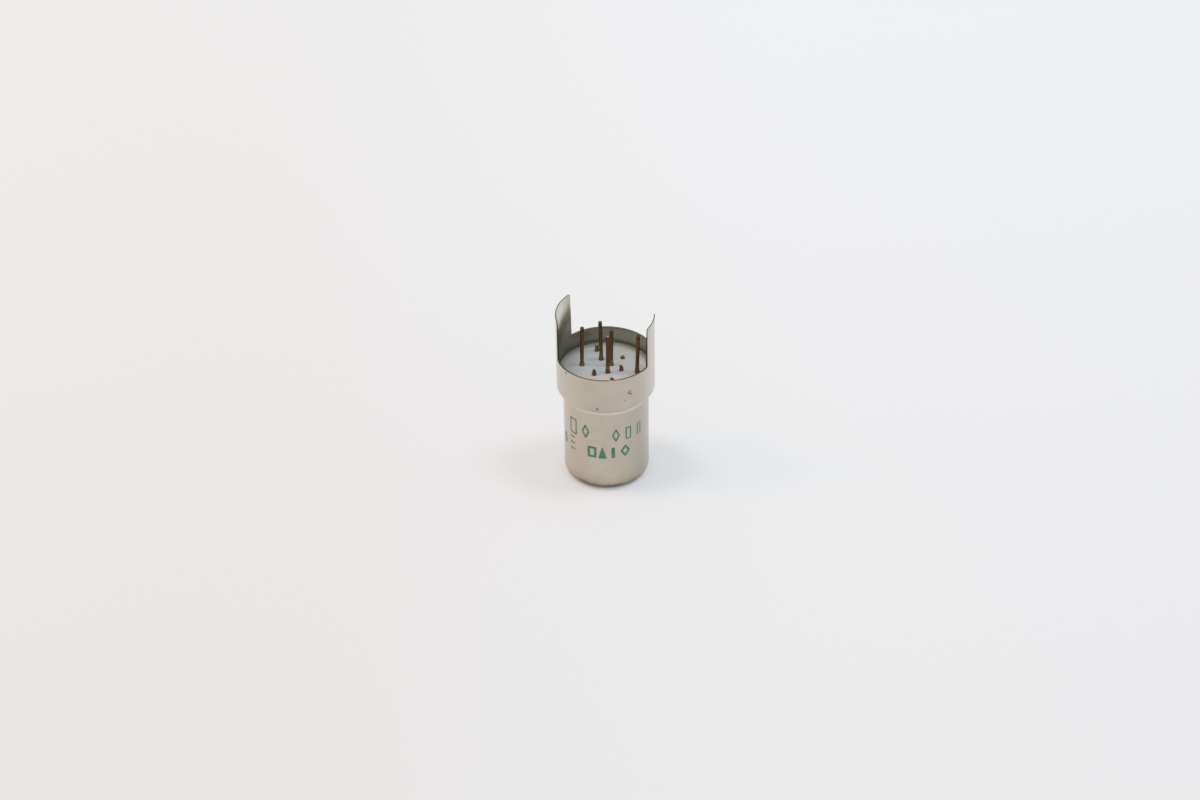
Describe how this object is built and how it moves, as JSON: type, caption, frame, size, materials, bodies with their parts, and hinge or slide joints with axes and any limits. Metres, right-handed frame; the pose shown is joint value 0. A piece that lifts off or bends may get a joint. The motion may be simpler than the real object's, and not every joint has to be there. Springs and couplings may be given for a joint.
{
  "type": "miniature vacuum tube",
  "caption": "Small sealed metal-and-ceramic vacuum tube: a drawn metal can with a wider skirt, two indexing lugs, a recessed ceramic base and thin round pins.",
  "frame": {"origin": "centre of the flat closed end, on the surface that the tube stands on", "axes": "+Z along the tube from the closed end to the base pins, +X towards the narrow indexing lug, -X towards the wide one"},
  "size_m": [0.0108, 0.0108, 0.0203],
  "materials": {
    "nickel_plate": "satin nickel plate, faint draw lines",
    "white_ceramic": "matt, fine-grained",
    "seal_braze": "dull, darkened",
    "oxidised_lead": "satin, bronze-brown oxide",
    "copper_braze": "satin, orange-brown"
  },
  "bodies": {
    "root": {"metal_shell": "nickel_plate", "ceramic_wafer": "white_ceramic", "wafer_seal": "seal_braze", "plate_pin": "oxidised_lead", "grid_pin": "oxidised_lead", "cathode_pin": "oxidised_lead", "heater_pin_1": "oxidised_lead", "heater_pin_2": "oxidised_lead", "plate_stub_1": "oxidised_lead", "plate_stub_2": "oxidised_lead", "grid_stub_1": "oxidised_lead", "grid_stub_2": "oxidised_lead", "cathode_stub_1": "oxidised_lead", "cathode_stub_2": "oxidised_lead", "plate_pin_braze": "copper_braze", "grid_pin_braze": "copper_braze", "cathode_pin_braze": "copper_braze", "heater_pin_1_braze": "copper_braze", "heater_pin_2_braze": "copper_braze", "plate_stub_1_braze": "copper_braze", "plate_stub_2_braze": "copper_braze", "grid_stub_1_braze": "copper_braze", "grid_stub_2_braze": "copper_braze", "cathode_stub_1_braze": "copper_braze", "cathode_stub_2_braze": "copper_braze"}
  },
  "joints": []
}
